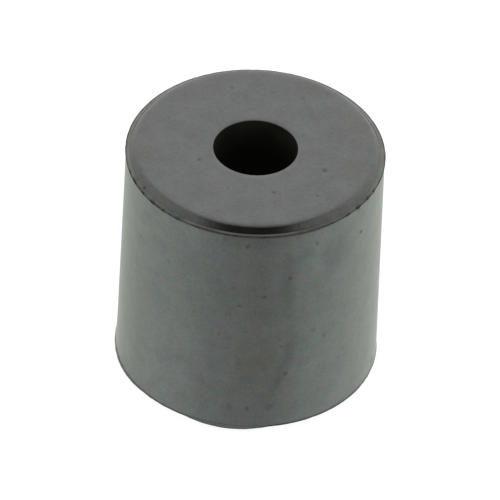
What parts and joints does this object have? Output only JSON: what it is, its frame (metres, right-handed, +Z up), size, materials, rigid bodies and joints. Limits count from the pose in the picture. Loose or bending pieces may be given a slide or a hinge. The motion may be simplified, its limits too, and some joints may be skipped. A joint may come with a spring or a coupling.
{
  "type": "cylindrical ferrite core",
  "caption": "Short thick-walled ferrite cylinder with a straight central bore and chamfered, lipped ends, threaded over a wire to choke high-frequency noise.",
  "frame": {"origin": "middle of the lower end face, on the axis of the bore", "axes": "+Z up along the axis of the bore, away from the end that it stands on"},
  "size_m": [0.0076, 0.0076, 0.0076],
  "materials": {
    "ferrite": "bare sintered ferrite, dark grey, fine-grained and slightly glossy"
  },
  "bodies": {
    "root": {"ferrite_core": "ferrite"}
  },
  "joints": []
}
